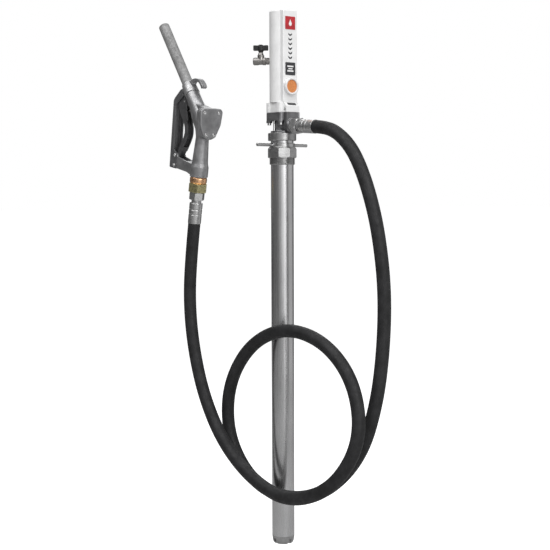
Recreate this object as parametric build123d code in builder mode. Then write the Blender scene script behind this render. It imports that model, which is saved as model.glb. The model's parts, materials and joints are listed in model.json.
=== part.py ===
from build123d import *
import math
import os

# Drum barrel pump: air motor, suction tube, bung adapter, outlet hose and dispensing nozzle.
# Millimetres. +Z is up the pump's axis and the outlet points to -Y. The origin is on the pump's
# axis at the shoulder of the bung adapter, where its octagon meets the drum.

# ---------------------------------------------------------------- driving dimensions
running_gap = 0.05      # radial clearance of a running fit

# Bung adapter, G2 thread
thread_r = 29.8
thread_root_r = 28.4
thread_pitch = 2.309
thread_turns = 7
collar_depth = 16.2
octagon_corner_r = 34.2
octagon_height = 22.9
octagon_turn = -7.5     # degrees, so that a flat looks out at 15 degrees
packing_bore_r = 29.0
packing_floor = 2.2
seal_top = 8.0
clamp_ring_r = 29.4
clamp_ring_top = 34.0
ring_shoulder = 23.1    # the clamp ring's collar, just above the octagon
bar_r = 3.8
bar_root = 27.2         # where each bar starts inside the ring
bar_reach = 74.0
bar_height = 29.7

# Suction tube and foot
tube_r = 26.4
tube_wall = 1.5
tube_inner_r = tube_r - tube_wall
tube_bottom = -886.0
tube_top = 50.0
foot_bottom = -905.0
foot_bore_r = 13.0
seat_z = -866.0
plate_lift = 6.0
liner_r = 21.9
piston_bottom = -846.0
piston_height = 24.0
rod_r = 6.0
spigot_r = rod_r - 1.0  # the rod's thin end, through the pump's piston
valve_plate_height = 2.5
valve_plate_gap = 5.0

# Pump head
collar_r = 32.7
collar_bottom = 39.4
collar_top = 57.9
flange_bottom = 85.0
flange_top = 104.0
flange_half = 28.0
flange_corner_r = 8.0
bolt_offset = 21.0
chamber_r = 16.0
block_half = 19.0
block_face = 39.7
block_bottom = 58.5
disc_top = 62.0         # the housing's base disc, where the tie rods stand
rod_gland_r = 12.0
gland_top = 116.0
bolt_r = 2.5
bolt_head_r = 4.3
bolt_head_height = 5.0
corner_boss = 4.5       # how far the bosses stand out under the flange
rim_width = 2.0
rim_height = 1.4

# Air motor
base_top = 127.0
slope_depth = 9.0
barrel_r = 28.8
barrel_front = 30.3
barrel_half_front = 20.5
cylinder_r = 24.0
barrel_top = 331.0
cap_top = 336.0
cap_screw_circle = 26.4
cap_screw_r = 1.35
cap_head_r = 2.5
cap_head_depth = 2.4    # below the cap's top
air_piston_bottom = 132.0
air_piston_height = 14.0
piston_stroke = 100.0
spool_r = 3.5
spool_height = 111.0
spool_y = -33.5
muffler_height = 163.0
muffler_r = 19.8
disc_r = 14.8
piston_groove_r = 21.4
plate_width = 29.0

# Air inlet: points 45 degrees back and to the left
inlet_height = 223.0
inlet_end = 66.7
inlet_body_r = 8.9
inlet_port_r = 6.0
stem_reach = 49.0
valve_stem_r = 2.5

# Outlet and hose
outlet_height = 73.0
outlet_droop = 4.0      # degrees below level
outlet_bore_r = 9.5
nipple_r = 13.2
nut_across_corners = 39.3
hose_r = 15.0
ferrule_r = 15.8
ferrule_grip = 8.0      # depth of the hose in each ferrule's mouth

# Nozzle: it lies in the plane x = nozzle_x and leans back towards the pump
nozzle_x = -110.0
nozzle_lean = 10.0
spout_angle = 44.6      # between the grip tube's axis and the spout's
spout_r = 13.2
spout_start = 92.0
spout_end = 291.0
spout_root_r = 13.0     # the stretch inside the bushing
bushing_end = 112.0
bushing_r = 18.6
pivot_out = 74.0
pivot_up = 170.4
valve_up = 150.0
swivel_bore_r = 16.5

# ---------------------------------------------------------------- frames
pump_frame = Plane.XY

droop = math.radians(outlet_droop)
outlet_frame = Plane(
    origin=(0, -block_face, outlet_height),
    x_dir=(1, 0, 0),
    z_dir=(0, -math.cos(droop), -math.sin(droop)),
)

inlet_dir = Vector(-1, 1, 0).normalized()
inlet_frame = Plane(origin=(0, 0, inlet_height), x_dir=(0, 0, 1), z_dir=inlet_dir)
stem_frame = Plane(origin=inlet_dir * stem_reach, x_dir=inlet_dir, z_dir=(0, 0, 1))

# In the nozzle's own frames "out" is away from the pump and "up" runs along the grip tube.
lean = math.radians(nozzle_lean)
nozzle_origin = Vector(nozzle_x, 180.5, -42.0)
nozzle_out = Vector(0, math.cos(lean), math.sin(lean))
nozzle_up = Vector(0, -math.sin(lean), math.cos(lean))
side_plane = Plane(origin=nozzle_origin, x_dir=nozzle_out, z_dir=(1, 0, 0))
grip_frame = Plane(origin=nozzle_origin, x_dir=(1, 0, 0), z_dir=nozzle_up)
bend = math.radians(spout_angle)
spout_dir = nozzle_out * math.sin(bend) + nozzle_up * math.cos(bend)
spout_origin = nozzle_origin + nozzle_up * 131.0
spout_frame = Plane(origin=spout_origin, x_dir=(1, 0, 0), z_dir=spout_dir)
valve_frame = Plane(origin=nozzle_origin + nozzle_up * valve_up, x_dir=(1, 0, 0), z_dir=nozzle_out)


# ---------------------------------------------------------------- helpers
def outline(plane, points):
    """A face with straight sides through the points."""
    with BuildSketch(plane) as face:
        with BuildLine():
            Polyline(*points, close=True)
        make_face()
    return face.sketch


def turn(frame, points, mode=Mode.ADD):
    """Turn an outline of (radius, height) points about the frame's Z axis."""
    side = Plane(origin=frame.origin, x_dir=frame.x_dir, z_dir=-frame.y_dir)
    revolve(outline(side, points), axis=Axis(frame.origin, frame.z_dir), mode=mode)


def rod(frame, radius, low, high, mode=Mode.ADD):
    """A plain cylinder along the frame's Z axis."""
    with BuildSketch(frame.offset(low)) as disc:
        Circle(radius)
    extrude(disc.sketch, amount=high - low, mode=mode)


def ring_points(inner, outer, low, high, edge=0.4):
    """A ring's outline with small bevels on its outer edges."""
    return [
        (inner, low), (outer - edge, low), (outer, low + edge),
        (outer, high - edge), (outer - edge, high), (inner, high),
    ]


def nut(frame, corner_r, low, high, sides=6, rotation=0.0, bevel=2.0, depth=1.3):
    """A nut's solid body, its corners turned down at both ends."""
    with BuildSketch(frame.offset(low)) as face:
        RegularPolygon(corner_r, sides, rotation=rotation)
    extrude(face.sketch, amount=high - low)
    turn(
        frame,
        [
            (0, low), (corner_r - bevel, low), (corner_r, low + depth),
            (corner_r, high - depth), (corner_r - bevel, high), (0, high),
        ],
        mode=Mode.INTERSECT,
    )


def save(piece, name):
    """Name a finished piece and write its STEP file."""
    piece.part.label = name
    export_step(piece.part, f"parts/{name}.step")


os.makedirs("parts", exist_ok=True)

# ================================================================ bung adapter
with BuildPart() as bung_adapter:
    nut(pump_frame, octagon_corner_r, 0, octagon_height, 8, octagon_turn, 2.4, 2.2)
    crest_half = 0.42
    flank = 0.45
    thread_outline = [
        (0, 0.5), (thread_r, 0.5), (thread_r, -crest_half), (thread_root_r, -crest_half - flank),
    ]
    for index in range(1, thread_turns):
        crest = -thread_pitch * index
        thread_outline += [
            (thread_root_r, crest + crest_half + flank), (thread_r, crest + crest_half),
            (thread_r, crest - crest_half), (thread_root_r, crest - crest_half - flank),
        ]
    thread_outline += [(thread_root_r - 1.2, -collar_depth), (0, -collar_depth)]
    turn(pump_frame, thread_outline)
    rod(pump_frame, tube_r + running_gap, -collar_depth, octagon_height, Mode.SUBTRACT)
    rod(pump_frame, packing_bore_r, packing_floor, octagon_height, Mode.SUBTRACT)
save(bung_adapter, "bung_adapter")

with BuildPart() as adapter_seal:
    turn(pump_frame, ring_points(tube_r + running_gap, packing_bore_r - 0.02, packing_floor, seal_top))
save(adapter_seal, "adapter_seal")

with BuildPart() as clamp_ring:
    gland_r = packing_bore_r - 0.06
    turn(
        pump_frame,
        [
            (tube_r + running_gap, seal_top + 0.2), (gland_r, seal_top + 0.2), (gland_r, ring_shoulder),
            (clamp_ring_r + 1.0, ring_shoulder), (clamp_ring_r + 1.2, ring_shoulder + 0.4),
            (clamp_ring_r + 1.2, ring_shoulder + 1.9), (clamp_ring_r, ring_shoulder + 2.5),
            (clamp_ring_r, clamp_ring_top - 1.2),
            (clamp_ring_r - 1.2, clamp_ring_top), (tube_r + running_gap, clamp_ring_top),
        ],
    )
    for side in (-1, 1):
        with BuildSketch(Plane.YZ.offset(side * bar_root)):
            with Locations((0, bar_height)):
                Circle(bar_r)
        extrude(amount=side * 10, mode=Mode.SUBTRACT)
save(clamp_ring, "clamp_ring")

with BuildPart() as tommy_bars:
    with BuildSketch(Plane.YZ.offset(bar_root + 0.1)):
        with Locations((0, bar_height)):
            Circle(bar_r)
    extrude(amount=bar_reach - bar_root - 0.1)
    chamfer(tommy_bars.faces().sort_by(Axis.X)[-1].edges(), 0.8)
    mirror(about=Plane.YZ)
save(tommy_bars, "tommy_bars")

# ================================================================ suction tube and foot
with BuildPart() as suction_tube:
    turn(
        pump_frame,
        [
            (tube_inner_r, tube_bottom), (tube_r, tube_bottom), (tube_r, 46.2), (29.3, 46.2),
            (29.3, tube_top - 0.2), (tube_inner_r, tube_top - 0.2),
        ],
    )
save(suction_tube, "suction_tube")

slot_width = 8.0
with BuildPart() as foot_valve_body:
    turn(
        pump_frame,
        [
            (foot_bore_r, foot_bottom), (18.8, foot_bottom), (21.6, foot_bottom + 1.2),
            (23.6, foot_bottom + 3.6), (24.9, foot_bottom + 8.0), (tube_r, tube_bottom - 0.2),
            (tube_inner_r - 0.05, tube_bottom - 0.2), (tube_inner_r - 0.05, seat_z - 4.0),
            (foot_bore_r, seat_z - 4.0),
        ],
    )
    with BuildSketch(Plane.XY.offset(foot_bottom)):
        Rectangle(2 * tube_r, slot_width)
        Rectangle(slot_width, 2 * tube_r)
    extrude(amount=13.0, mode=Mode.SUBTRACT)
save(foot_valve_body, "foot_valve_body")

with BuildPart() as foot_valve_seat:
    turn(
        pump_frame,
        [
            (11.0, seat_z - 3.9), (tube_inner_r - 0.05, seat_z - 3.9),
            (tube_inner_r - 0.05, seat_z - 1.0), (foot_bore_r + 1.0, seat_z - 1.0),
            (foot_bore_r, seat_z), (11.0, seat_z),
        ],
    )
save(foot_valve_seat, "foot_valve_seat")

plate_r = 16.5
plate_top = seat_z + 3.0
with BuildPart() as foot_valve_plate:
    turn(pump_frame, ring_points(0, plate_r, seat_z + 0.05, plate_top))
save(foot_valve_plate, "foot_valve_plate")

cage_top = plate_top + plate_lift + 2.5
with BuildPart() as foot_valve_cage:
    turn(pump_frame, ring_points(plate_r + 1.0, tube_inner_r - 0.1, seat_z - 0.9, cage_top, 0.2))
    with BuildSketch(Plane.XY.offset(cage_top - 2.0)):
        Rectangle(2 * plate_r + 4.0, 6.0)
        Rectangle(6.0, 2 * plate_r + 4.0)
    extrude(amount=2.0)
    with BuildSketch(Plane.XY.offset(seat_z + 1.0)):
        with PolarLocations(plate_r + 4.5, 4, start_angle=45):
            Rectangle(5.0, 14.0)
    extrude(amount=6.0, mode=Mode.SUBTRACT)
save(foot_valve_cage, "foot_valve_cage")

piston_top = piston_bottom + piston_height
liner_top = piston_top + piston_stroke + 12.0
with BuildPart() as pump_cylinder:
    turn(pump_frame, ring_points(liner_r, tube_inner_r - 0.05, cage_top + 0.1, liner_top, 0.3))
save(pump_cylinder, "pump_cylinder")

seal_low = piston_bottom + 9.0
seal_high = piston_bottom + 15.0
seal_inner_r = 18.6
with BuildPart() as pump_piston:
    piston_r = liner_r - 0.3
    turn(
        pump_frame,
        [
            (spigot_r, piston_bottom), (piston_r - 0.5, piston_bottom), (piston_r, piston_bottom + 0.6),
            (piston_r, seal_low), (seal_inner_r, seal_low), (seal_inner_r, seal_high),
            (piston_r, seal_high), (piston_r, piston_top), (spigot_r, piston_top),
        ],
    )
    with BuildSketch(Plane.XY.offset(piston_bottom)):
        with PolarLocations(12.0, 6):
            Circle(3.2)
    extrude(amount=piston_height, mode=Mode.SUBTRACT)
save(pump_piston, "pump_piston")

with BuildPart() as piston_seal:
    turn(
        pump_frame,
        ring_points(
            seal_inner_r + 0.1, liner_r - running_gap, seal_low + 0.1, seal_high - 0.1, 0.5
        ),
    )
save(piston_seal, "piston_seal")

valve_plate_top = piston_top + valve_plate_height
with BuildPart() as piston_valve_plate:
    turn(pump_frame, ring_points(spigot_r + running_gap, 17.0, piston_top + 0.05, valve_plate_top))
save(piston_valve_plate, "piston_valve_plate")

rod_top = air_piston_bottom + air_piston_height - 2.0
stop_low = valve_plate_top + valve_plate_gap
with BuildPart() as pump_rod:
    turn(
        pump_frame,
        [
            (0, piston_bottom - 6.0), (8.5, piston_bottom - 6.0), (8.5, piston_bottom - 0.05),
            (spigot_r - 0.05, piston_bottom - 0.05), (spigot_r - 0.05, stop_low), (10.0, stop_low),
            (10.0, stop_low + 3.0), (rod_r, stop_low + 6.0), (rod_r, rod_top), (0, rod_top),
        ],
    )
save(pump_rod, "pump_rod")

# ================================================================ pump head
with BuildPart() as union_collar:
    turn(
        pump_frame,
        [
            (tube_r + 0.1, collar_bottom), (collar_r - 1.6, collar_bottom),
            (collar_r, collar_bottom + 1.4), (collar_r, collar_top - 1.6),
            (collar_r - 1.8, collar_top), (29.6, collar_top),
            (29.6, 46.0), (tube_r + 0.1, 46.0),
        ],
    )
save(union_collar, "union_collar")

block_round_z = block_bottom + block_half
bolt_head_low = flange_bottom - corner_boss - bolt_head_height
with BuildPart() as outlet_housing:
    # spigot in the collar, base disc and the round body
    rod(pump_frame, 29.4, tube_top, 57.0)
    rod(pump_frame, 26.4, 57.0, disc_top)
    rod(pump_frame, 20.5, disc_top, flange_top)
    # outlet block: flat sides and a round bottom
    with BuildSketch(Plane.XZ):
        with Locations((0, block_round_z)):
            Circle(block_half)
        with Locations((0, (block_round_z + flange_top) / 2)):
            Rectangle(2 * block_half, flange_top - block_round_z)
    extrude(amount=block_face)
    # raised rim round the block's face, open at the top
    with BuildSketch(Plane.XZ.offset(block_face)):
        for half, mode in ((block_half, Mode.ADD), (block_half - rim_width, Mode.SUBTRACT)):
            with Locations((0, block_round_z)):
                Circle(half, mode=mode)
            with Locations((0, (block_round_z + flange_top) / 2)):
                Rectangle(2 * half, flange_top - block_round_z, mode=mode)
    extrude(amount=rim_height)
    # square flange with a boss under each corner
    with BuildSketch(Plane.XY.offset(flange_bottom)):
        RectangleRounded(2 * flange_half, 2 * flange_half, flange_corner_r)
    extrude(amount=flange_top - flange_bottom)
    with BuildSketch(Plane.XY.offset(flange_bottom - corner_boss)):
        with GridLocations(2 * bolt_offset, 2 * bolt_offset, 2, 2):
            Circle(flange_half - bolt_offset)
    extrude(amount=5.0)
    # port boss
    turn(outlet_frame, [(0, -4), (18.2, -4), (18.2, 3.2), (17.2, 4.0), (0, 4.0)])
    # room for the front bolts' heads, pockets in the block's sides, the flange's bolt holes
    with BuildSketch(Plane.XY.offset(flange_bottom - 19.0)):
        with GridLocations(2 * bolt_offset, 2 * bolt_offset, 2, 2):
            Circle(bolt_head_r + 0.5)
    extrude(amount=19.0 - corner_boss, mode=Mode.SUBTRACT)
    for pocket_side in (-1, 1):
        pocket_plane = Plane.YZ.offset(pocket_side * block_half)
        with BuildSketch(pocket_plane):
            with Locations((-27.0, 74.0)):
                SlotOverall(24.0, 11.0, rotation=90)
        extrude(amount=-pocket_side * 3.0, mode=Mode.SUBTRACT)
    with BuildSketch(Plane.XY.offset(flange_bottom - 6.0)):
        with GridLocations(2 * bolt_offset, 2 * bolt_offset, 2, 2):
            Circle(bolt_r + 0.1)
    extrude(amount=30.0, mode=Mode.SUBTRACT)
    # pump chamber, rod gland bore and outlet passage
    rod(pump_frame, chamber_r, tube_top, 82.0, Mode.SUBTRACT)
    rod(pump_frame, rod_gland_r, 80.0, flange_top, Mode.SUBTRACT)
    rod(outlet_frame, outlet_bore_r, -36.0, 0, Mode.SUBTRACT)
    rod(outlet_frame, nipple_r + 0.05, -11.0, 5.0, Mode.SUBTRACT)
save(outlet_housing, "outlet_housing")

tie_circle_r = 23.6
with BuildPart() as tie_rods:
    with BuildSketch(Plane.XY.offset(disc_top)):
        with PolarLocations(tie_circle_r, 3, start_angle=0, angular_range=180, endpoint=True):
            Circle(2.4)
    extrude(amount=flange_bottom - disc_top)
save(tie_rods, "tie_rods")

with BuildPart() as rod_gland:
    turn(pump_frame, ring_points(rod_r + running_gap, rod_gland_r - 0.02, 82.2, gland_top))
save(rod_gland, "rod_gland")

with BuildPart() as flange_bolts:
    with BuildSketch(Plane.XY.offset(bolt_head_low)):
        with GridLocations(2 * bolt_offset, 2 * bolt_offset, 2, 2):
            Circle(bolt_head_r)
    extrude(amount=bolt_head_height)
    with BuildSketch(Plane.XY.offset(bolt_head_low + 4.0)):
        with GridLocations(2 * bolt_offset, 2 * bolt_offset, 2, 2):
            Circle(bolt_r)
    extrude(amount=34.0)
    with BuildSketch(Plane.XY.offset(bolt_head_low)):
        with GridLocations(2 * bolt_offset, 2 * bolt_offset, 2, 2):
            RegularPolygon(2.3, 6)
    extrude(amount=3.0, mode=Mode.SUBTRACT)
save(flange_bolts, "flange_bolts")

# ================================================================ air motor
with BuildPart() as motor_base:
    base_height = base_top - flange_top
    with BuildSketch(Plane.XY.offset(flange_top)):
        RectangleRounded(2 * flange_half, 2 * flange_half, flange_corner_r)
        with Locations((0, -block_face / 2)):
            Rectangle(2 * block_half, block_face)
    extrude(amount=base_height)
    # the sides fall back between the corner lobes
    lobe = 2 * (flange_half - bolt_offset) - 0.6
    flat_width = 2 * flange_half - 2 * lobe
    with BuildSketch(Plane.XY.offset(flange_top)):
        for spot in ((-flange_half, 0), (flange_half, 0), (0, flange_half)):
            with Locations(spot):
                if spot[0]:
                    RectangleRounded(7.0, flat_width, 2.5)
                else:
                    RectangleRounded(flat_width, 7.0, 2.5)
    extrude(amount=base_height, mode=Mode.SUBTRACT)
    # front block: sloped top
    with BuildSketch(Plane.YZ) as slope:
        with BuildLine():
            Polyline(
                (-barrel_front, base_top), (-block_face - 1.0, base_top - slope_depth - 1.0),
                (-block_face - 1.0, base_top + 1.0), (-barrel_front, base_top + 1.0), close=True,
            )
        make_face()
    extrude(amount=30.0, both=True, mode=Mode.SUBTRACT)
    # hollow middle, bolt holes and the spool's bore
    rod(pump_frame, rod_gland_r, flange_top, gland_top, Mode.SUBTRACT)
    rod(pump_frame, 20.0, gland_top, base_top, Mode.SUBTRACT)
    with BuildSketch(Plane.XY.offset(flange_top)):
        with GridLocations(2 * bolt_offset, 2 * bolt_offset, 2, 2):
            Circle(bolt_r + 0.05)
    extrude(amount=10.2, mode=Mode.SUBTRACT)
    with BuildSketch(Plane.YZ):
        with Locations((spool_y, spool_height)):
            Circle(spool_r + running_gap)
    extrude(amount=30.0, both=True, mode=Mode.SUBTRACT)
save(motor_base, "motor_base")

waist_r = 2.0
with BuildPart() as reversing_spool:
    spool_frame = Plane(origin=(-15.7, spool_y, spool_height), x_dir=(0, 1, 0), z_dir=(1, 0, 0))
    turn(
        spool_frame,
        [
            (0, 0), (spool_r, 0), (spool_r, 6.0), (waist_r, 6.0), (waist_r, 10.5), (spool_r, 10.5),
            (spool_r, 16.5), (waist_r, 16.5), (waist_r, 21.0), (spool_r, 21.0), (spool_r, 27.0),
            (0, 27.0),
        ],
    )
save(reversing_spool, "reversing_spool")

with BuildPart() as spool_plugs:
    for end in (-1, 1):
        with BuildSketch(Plane.YZ.offset(end * 16.0)):
            with Locations((spool_y, spool_height)):
                Circle(spool_r)
        extrude(amount=end * 3.6)
        with BuildSketch(Plane.YZ.offset(end * 19.6)):
            with Locations((spool_y, spool_height)):
                RegularPolygon(1.6, 6)
        extrude(amount=-end * 1.6, mode=Mode.SUBTRACT)
save(spool_plugs, "spool_plugs")

slope_run = block_face - barrel_front
slope_angle = math.atan2(slope_depth, slope_run)
slope_normal = Vector(0, -math.sin(slope_angle), math.cos(slope_angle))
slope_plane = Plane(
    origin=(0, -barrel_front - slope_run / 2, base_top - slope_depth / 2),
    x_dir=(1, 0, 0),
    z_dir=slope_normal,
)
with BuildPart() as base_label:
    with BuildSketch(slope_plane):
        RectangleRounded(24.0, 7.5, 0.8)
    extrude(amount=0.5)
save(base_label, "base_label")


def barrel_outline(height):
    """The motor's section: a round barrel with a flat front, its corners eased."""
    with BuildSketch(Plane.XY.offset(height)) as section:
        Circle(barrel_r)
        with Locations((0, -barrel_front / 2)):
            Rectangle(2 * barrel_half_front, barrel_front)
        front_corners = section.vertices().group_by(Axis.Y)[0]
        fillet(front_corners, 1.5)
    return section.sketch


with BuildPart() as air_cylinder:
    extrude(barrel_outline(base_top), amount=barrel_top - base_top)
    rod(pump_frame, cylinder_r, base_top, 325.0, Mode.SUBTRACT)
    rod(pump_frame, cylinder_r - 1.0, 324.0, barrel_top, Mode.SUBTRACT)
    with BuildSketch(Plane.XZ.offset(barrel_front)):
        with Locations((0, muffler_height)):
            Circle(14.0)
    extrude(amount=-3.0, mode=Mode.SUBTRACT)
    rod(inlet_frame, inlet_port_r, 20.0, 30.0, Mode.SUBTRACT)
    with BuildSketch(Plane.XY.offset(barrel_top - 9.0)):
        with PolarLocations(cap_screw_circle, 4, start_angle=45):
            Circle(cap_screw_r + 0.05)
    extrude(amount=10.0, mode=Mode.SUBTRACT)
save(air_cylinder, "air_cylinder")

with BuildPart() as top_cap:
    extrude(barrel_outline(barrel_top), amount=cap_top - barrel_top)
    fillet(top_cap.faces().sort_by(Axis.Z)[-1].edges(), 2.2)
    rod(pump_frame, cylinder_r - 1.05, barrel_top - 5.0, barrel_top)
    with BuildSketch(Plane.XY.offset(barrel_top)):
        with PolarLocations(cap_screw_circle, 4, start_angle=45):
            Circle(cap_screw_r + 0.1)
    extrude(amount=6.0, mode=Mode.SUBTRACT)
    with BuildSketch(Plane.XY.offset(cap_top - cap_head_depth)):
        with PolarLocations(cap_screw_circle, 4, start_angle=45):
            Circle(cap_head_r + 0.2)
    extrude(amount=4.0, mode=Mode.SUBTRACT)
save(top_cap, "top_cap")

with BuildPart() as cap_screws:
    screw_tip = barrel_top - 8.5
    with BuildSketch(Plane.XY.offset(screw_tip)):
        with PolarLocations(cap_screw_circle, 4, start_angle=45):
            Circle(cap_screw_r)
    extrude(amount=cap_top - cap_head_depth - screw_tip)
    with BuildSketch(Plane.XY.offset(cap_top - cap_head_depth)):
        with PolarLocations(cap_screw_circle, 4, start_angle=45):
            Circle(cap_head_r)
    extrude(amount=cap_head_depth - 0.4)
    with BuildSketch(Plane.XY.offset(cap_top - 0.4)):
        with PolarLocations(cap_screw_circle, 4, start_angle=45):
            RegularPolygon(1.3, 6)
    extrude(amount=-1.3, mode=Mode.SUBTRACT)
save(cap_screws, "cap_screws")

air_piston_top = air_piston_bottom + air_piston_height
with BuildPart() as air_piston:
    piston_side = cylinder_r - 0.3
    turn(
        pump_frame,
        [
            (0, air_piston_bottom), (piston_side - 0.8, air_piston_bottom),
            (piston_side, air_piston_bottom + 0.8), (piston_side, air_piston_bottom + 2.5),
            (piston_groove_r, air_piston_bottom + 2.5), (piston_groove_r, air_piston_bottom + 5.5),
            (piston_side, air_piston_bottom + 5.5), (piston_side, air_piston_top - 5.5),
            (piston_groove_r, air_piston_top - 5.5), (piston_groove_r, air_piston_top - 2.5),
            (piston_side, air_piston_top - 2.5), (piston_side, air_piston_top - 0.8),
            (piston_side - 0.8, air_piston_top), (0, air_piston_top),
        ],
    )
    rod(pump_frame, rod_r, air_piston_bottom, rod_top, Mode.SUBTRACT)
save(air_piston, "air_piston")

with BuildPart() as air_piston_seals:
    for groove in (air_piston_bottom + 2.6, air_piston_top - 5.4):
        seal_points = ring_points(
            piston_groove_r + 0.1, cylinder_r - running_gap, groove, groove + 2.8, 0.6
        )
        turn(pump_frame, seal_points)
save(air_piston_seals, "air_piston_seals")

# Exhaust muffler on the flat front: a boss with a porous disc
muffler_frame = Plane(origin=(0, -barrel_front, muffler_height), x_dir=(1, 0, 0), z_dir=(0, -1, 0))
with BuildPart() as muffler_boss:
    turn(
        muffler_frame,
        [
            (0, -2.8), (13.9, -2.8), (13.9, 0.05), (muffler_r, 0.05), (muffler_r, 6.6),
            (muffler_r - 1.4, 8.0), (disc_r + 1.3, 8.0), (disc_r + 0.2, 7.2), (disc_r + 0.2, 2.2),
            (11.0, 2.2), (11.0, 1.0), (0, 1.0),
        ],
    )
save(muffler_boss, "muffler_boss")

with BuildPart() as muffler_disc:
    turn(muffler_frame, ring_points(0, disc_r, 2.3, 5.4, 0.5))
save(muffler_disc, "muffler_disc")

plate_thickness = 0.6
front_plane = Plane(origin=(0, -barrel_front, 0), x_dir=(1, 0, 0), z_dir=(0, -1, 0))
with BuildPart() as upper_plate:
    with BuildSketch(front_plane):
        with Locations((0, 307.0)):
            RectangleRounded(plate_width, plate_width + 0.5, 0.8)
    extrude(amount=plate_thickness)
save(upper_plate, "upper_plate")

with BuildPart() as middle_plate:
    with BuildSketch(front_plane):
        with Locations((0, 203.0)):
            RectangleRounded(plate_width, plate_width, 2.0)
    extrude(amount=plate_thickness)
save(middle_plate, "middle_plate")

# ================================================================ air inlet
nipple_bore_r = 3.5
nipple_end_r = inlet_port_r - 0.05
nipple_hex_r = 7.9
with BuildPart() as air_nipple:
    turn(
        inlet_frame,
        [
            (nipple_bore_r, 24.8), (nipple_end_r, 24.8), (nipple_end_r, 29.2), (6.8, 29.2),
            (nipple_hex_r, 30.0), (nipple_hex_r, 35.0), (6.8, 35.8), (nipple_end_r, 35.8),
            (nipple_end_r, 41.8), (nipple_bore_r, 41.8),
        ],
    )
    with BuildSketch(inlet_frame.offset(24.0)) as hexagon:
        RegularPolygon(nipple_hex_r, 6)
    extrude(hexagon.sketch, amount=20.0, mode=Mode.INTERSECT)
save(air_nipple, "air_nipple")

ball_r = 6.5
valve_bore_r = 4.0
neck_r = 7.4            # the valve body's neck, under the gland
with BuildPart() as air_valve_body:
    turn(
        inlet_frame,
        [
            (0, 36.5), (7.6, 36.5), (inlet_body_r, 37.6), (inlet_body_r, 43.5), (8.0, 44.6),
            (8.0, 53.5), (inlet_body_r, 54.6), (inlet_body_r, 63.5), (8.4, 65.4), (7.0, inlet_end),
            (0, inlet_end),
        ],
    )
    rod(stem_frame, neck_r, inlet_height, 233.0)
    rod(inlet_frame, valve_bore_r, 36.0, inlet_end, Mode.SUBTRACT)
    rod(inlet_frame, inlet_port_r, 36.0, 42.0, Mode.SUBTRACT)
    rod(inlet_frame, 5.75, 56.5, inlet_end, Mode.SUBTRACT)
    with Locations(stem_frame.origin + Vector(0, 0, inlet_height)):
        Sphere(ball_r + running_gap, mode=Mode.SUBTRACT)
    rod(stem_frame, valve_stem_r + running_gap, inlet_height, 234.0, Mode.SUBTRACT)
save(air_valve_body, "air_valve_body")

with BuildPart() as air_valve_ball:
    with Locations(stem_frame.origin + Vector(0, 0, inlet_height)):
        Sphere(ball_r)
    rod(inlet_frame, valve_bore_r, 36.0, inlet_end, Mode.SUBTRACT)
    rod(stem_frame, valve_stem_r, inlet_height + 5.2, 234.0, Mode.SUBTRACT)
save(air_valve_ball, "air_valve_ball")

with BuildPart() as air_valve_gland:
    turn(
        stem_frame,
        [
            (valve_stem_r + running_gap, 233.1), (neck_r, 233.1), (neck_r + 0.5, 233.6),
            (neck_r + 0.5, 236.6), (6.6, 238.0), (5.2, 242.5), (valve_stem_r + running_gap, 242.5),
        ],
    )
save(air_valve_gland, "air_valve_gland")

handle_low = 247.6
handle_high = 259.8
with BuildPart() as air_valve_stem:
    rod(stem_frame, valve_stem_r, inlet_height + 5.3, handle_low + 6.0)
save(air_valve_stem, "air_valve_stem")

with BuildPart() as air_valve_handle:
    # collar under the wings, then the two wings with a low crown over the stem
    turn(stem_frame, [(0, 243.0), (4.6, 243.0), (7.4, handle_low + 1.0), (7.4, 257.0), (0, 257.0)])
    wing_plane = Plane(origin=stem_frame.origin, x_dir=inlet_dir, z_dir=(inlet_dir.Y, -inlet_dir.X, 0))
    reach = 17.2
    wing_side = [
        (-reach, handle_low + 1.0), (1.0 - reach, handle_low), (-7.0, handle_low), (0, 246.0),
        (7.0, handle_low), (reach - 1.0, handle_low), (reach, handle_low + 1.0),
        (reach, handle_high - 1.2), (reach - 1.0, handle_high), (6.0, handle_high - 0.4),
        (3.0, handle_high + 1.4), (-3.0, handle_high + 1.4), (-6.0, handle_high - 0.4),
        (1.0 - reach, handle_high), (-reach, handle_high - 1.2),
    ]
    extrude(outline(wing_plane, wing_side), amount=4.2, both=True)
    rod(stem_frame, valve_stem_r, 240.0, handle_low + 6.0, Mode.SUBTRACT)
save(air_valve_handle, "air_valve_handle")

# ================================================================ outlet fittings
ferrule_end = 80.5
with BuildPart() as outlet_nipple:
    turn(outlet_frame, ring_points(outlet_bore_r, nipple_r, -11.0, 18.0))
save(outlet_nipple, "outlet_nipple")

with BuildPart() as outlet_nut:
    nut(outlet_frame, nut_across_corners / 2, 6.0, 27.0, rotation=12)
    rod(outlet_frame, nipple_r + 0.05, 6.0, 23.0, Mode.SUBTRACT)
    rod(outlet_frame, 12.0, 22.0, 27.0, Mode.SUBTRACT)
save(outlet_nut, "outlet_nut")


def ferrule_outline(flange_low, flange_high, sleeve_low, mouth):
    """A crimped hose ferrule: flange, neck, sleeve with two crimp grooves, open mouth."""
    grip = mouth - ferrule_grip
    neck = 11.8
    tail_bore = 9.0
    points = [
        (tail_bore, flange_low), (nipple_r - 0.1, flange_low), (nipple_r - 0.1, flange_high),
        (neck, flange_high), (neck, sleeve_low), (ferrule_r - 1.6, sleeve_low),
        (ferrule_r, sleeve_low + 1.6),
    ]
    for groove_low in (sleeve_low + 14.0, sleeve_low + 26.0):
        points += [
            (ferrule_r, groove_low), (ferrule_r - 0.5, groove_low + 1.0),
            (ferrule_r - 0.5, groove_low + 3.0), (ferrule_r, groove_low + 4.0),
        ]
    points += [
        (ferrule_r, mouth - 0.6), (ferrule_r - 0.3, mouth), (hose_r, mouth), (hose_r, grip),
        (tail_bore, grip),
    ]
    return points


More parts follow.
